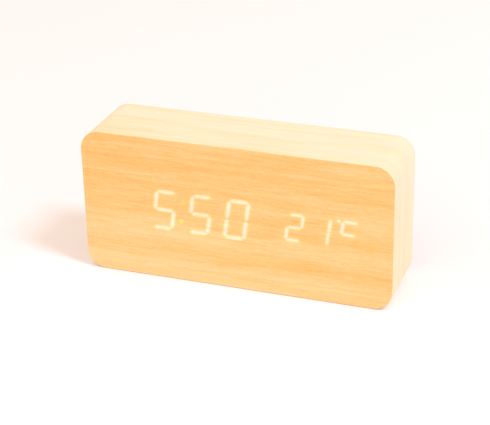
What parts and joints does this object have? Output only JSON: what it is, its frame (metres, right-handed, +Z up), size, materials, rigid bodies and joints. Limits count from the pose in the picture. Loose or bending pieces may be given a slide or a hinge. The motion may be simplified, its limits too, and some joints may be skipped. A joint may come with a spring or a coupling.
{
  "type": "digital led desk clock",
  "caption": "Rounded wood-veneered desk clock block whose warm white time and temperature figures shine through the front veneer; rear cover with keys, power socket and battery door.",
  "frame": {"origin": "on the desk, under the middle of the case, at the underside of the foot pads", "axes": "+X to the right seen from the front, the display faces -Y, +Z up"},
  "size_m": [0.15, 0.0372, 0.0706],
  "materials": {
    "front_veneer": "satin bamboo veneer, fine level grain",
    "side_veneer": "satin pale veneer",
    "mdf": "raw routed fibreboard",
    "clear_silicone": "soft translucent",
    "diffuser": "frosted film",
    "white_plastic": "matt white",
    "segment_lit": "lit, warm white",
    "segment_unlit": "milky, unlit",
    "led": "phosphor",
    "pcb": "green solder mask",
    "steel": "zinc or nickel plated",
    "black_steel": "black oxide",
    "chip": "moulded package",
    "capacitor": "sleeved can",
    "header_plastic": "natural nylon",
    "grey_wire": "wire insulation",
    "switch_lid": "stamped lid",
    "key_plastic": "fine texture",
    "black_plastic": "fine moulded texture",
    "brass": "plated contact",
    "aluminium": "drawn can",
    "epoxy": "dipped bead",
    "cell": "plain printed sleeve",
    "red_wire": "wire insulation",
    "black_wire": "wire insulation"
  },
  "bodies": {
    "clock": {"case_core": "mdf", "front_veneer": "front_veneer", "wrap_veneer": "side_veneer", "rear_veneer": "side_veneer", "foot_pads": "clear_silicone", "diffuser_film": "diffuser", "segment_reflector": "white_plastic", "hour_tens_segments": "segment_unlit", "hour_segments": "segment_lit", "minute_tens_segments": "segment_lit", "minute_segments": "segment_lit", "temperature_tens_segments": "segment_lit", "temperature_segments": "segment_lit", "unit_segments": "segment_lit", "colon_dots": "segment_lit", "degree_dot": "segment_lit", "led_chips": "led", "display_pcb": "pcb", "pcb_screws": "steel", "microcontroller": "chip", "led_driver": "chip", "crystal": "steel", "capacitors": "capacitor", "chip_resistors": "chip", "battery_header": "header_plastic", "display_header": "header_plastic", "control_header": "header_plastic", "control_cable": "grey_wire", "control_pcb": "pcb", "control_pcb_screws": "steel", "switch_bodies": "switch_lid", "dc_jack": "black_plastic", "dc_jack_pin": "brass", "buzzer": "black_plastic", "microphone": "aluminium", "thermistor": "epoxy", "back_cover": "black_plastic", "cover_screws": "black_steel", "aaa_cells": "cell", "battery_springs": "steel", "battery_contacts": "steel", "battery_lead_red": "red_wire", "battery_lead_black": "black_wire"},
    "battery_door": {"battery_door": "black_plastic"},
    "set_key": {"set_button": "key_plastic", "set_plunger": "white_plastic"},
    "up_key": {"up_button": "key_plastic", "up_plunger": "white_plastic"},
    "down_key": {"down_button": "key_plastic", "down_plunger": "white_plastic"}
  },
  "joints": [
    {"name": "battery_door_hinge", "type": "hinge", "parent": "clock", "child": "battery_door", "pos_m": [-0.024, 0.01695, 0.01555], "axis": [-1, 0, 0], "range_deg": [0, 75]},
    {"name": "set_press", "type": "slide", "parent": "clock", "child": "set_key", "axis": [0, -1, 0], "range_m": [0, 0.0003], "stiffness_N_per_m": 600, "springref_m": -0.001},
    {"name": "up_press", "type": "slide", "parent": "clock", "child": "up_key", "axis": [0, -1, 0], "range_m": [0, 0.0003], "stiffness_N_per_m": 600, "springref_m": -0.001},
    {"name": "down_press", "type": "slide", "parent": "clock", "child": "down_key", "axis": [0, -1, 0], "range_m": [0, 0.0003], "stiffness_N_per_m": 600, "springref_m": -0.001}
  ]
}
